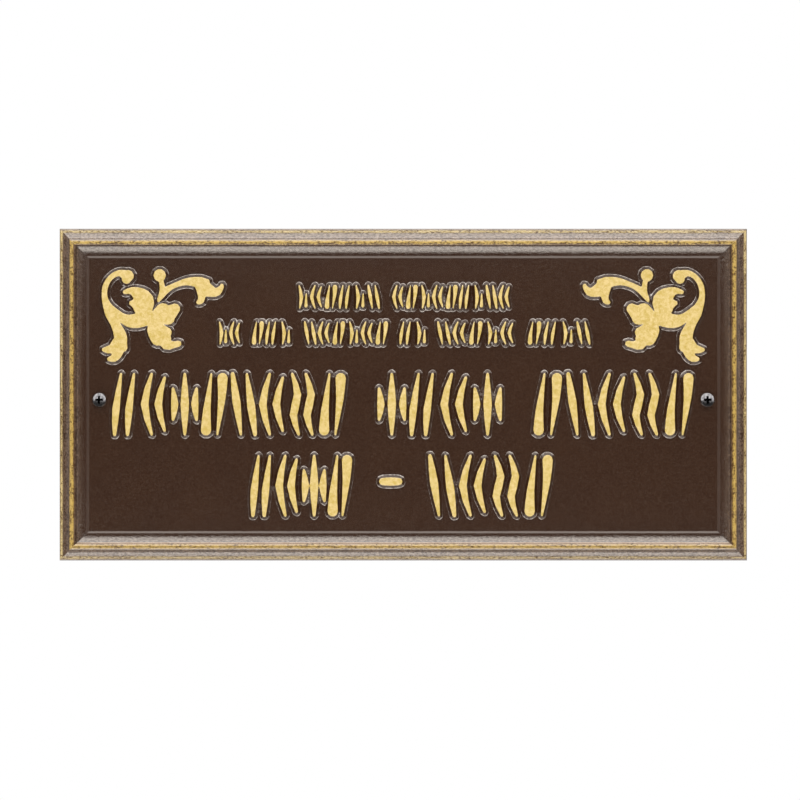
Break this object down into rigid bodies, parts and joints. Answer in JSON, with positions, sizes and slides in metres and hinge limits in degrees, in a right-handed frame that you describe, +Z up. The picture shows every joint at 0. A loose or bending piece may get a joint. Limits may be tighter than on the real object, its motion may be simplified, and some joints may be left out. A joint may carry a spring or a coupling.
{
  "type": "commemorative wall plaque",
  "caption": "Flat rectangular cast wall plaque with a stepped moulded frame, raised corner flourishes, rows of raised strokes and a pan-head fixing screw at each side",
  "frame": {"origin": "centre of the flat back, in the plane of the wall", "axes": "+Z up, +X to the right as the front is looked at, +Y out of the back into the wall; the front faces -Y"},
  "size_m": [0.4064, 0.0366, 0.1962],
  "materials": {
    "casting_paint": "satin dark bronze brown, with gold on the raised work, the bead and the lip",
    "screw_steel": "dark blackened steel, satin"
  },
  "bodies": {
    "root": {"plaque_casting": "casting_paint", "screw_left": "screw_steel", "screw_right": "screw_steel"}
  },
  "joints": []
}
